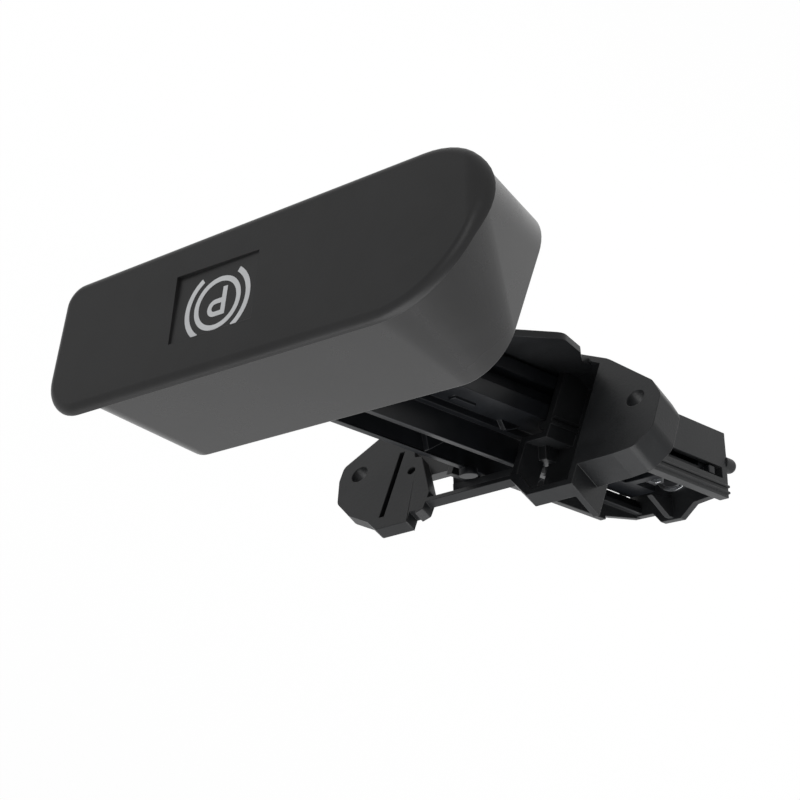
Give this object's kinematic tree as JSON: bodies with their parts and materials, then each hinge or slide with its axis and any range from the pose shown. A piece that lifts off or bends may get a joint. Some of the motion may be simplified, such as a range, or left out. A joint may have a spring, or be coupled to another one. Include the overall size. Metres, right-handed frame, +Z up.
{
  "type": "parking brake release handle",
  "caption": "Pull handle for releasing a parking brake: hollow T-grip on a ribbed slide arm that runs in a guide housing with screw ears.",
  "frame": {"origin": "midpoint between the two ear screw holes, on the front plane of the ears", "axes": "+X to the right as the driver sees it, +Y into the dashboard, +Z up; the handle slides out along (0, -0.893, 0.451)"},
  "size_m": [0.1104, 0.1517, 0.0918],
  "materials": {
    "housing_plastic": "fine grained black moulding",
    "arm_plastic": "smooth semi-matte black moulding",
    "grip_plastic": "satin black moulding",
    "cover_plastic": "satin dark grey moulding",
    "gland_plastic": "smooth dark grey moulding",
    "glide_plastic": "smooth off-white low-friction strip",
    "zinc_steel": "zinc plated",
    "spring_steel": "drawn wire",
    "pad_rubber": "matt"
  },
  "bodies": {
    "housing": {"guide_housing": "housing_plastic", "guide_bridge": "arm_plastic", "bridge_screws": "zinc_steel", "return_spring": "spring_steel", "spring_anchor": "zinc_steel", "spring_washer": "zinc_steel", "cable_gland": "gland_plastic", "gland_clip": "spring_steel", "rest_buffer": "pad_rubber", "pull_buffer": "pad_rubber", "glide_pads": "glide_plastic", "rattle_pad": "pad_rubber"},
    "handle": {"slide_arm": "arm_plastic", "grip_shell": "grip_plastic", "grip_face": "cover_plastic", "face_clips": "spring_steel", "grip_screws": "zinc_steel", "spring_rod": "zinc_steel", "cable_yoke": "zinc_steel", "yoke_pin": "zinc_steel"}
  },
  "joints": [
    {"name": "handle_slide", "type": "slide", "parent": "housing", "child": "handle", "axis": [0, -0.8926, 0.4509], "range_m": [0, 0.017], "stiffness_N_per_m": 400, "deforming": ["return_spring"]}
  ]
}
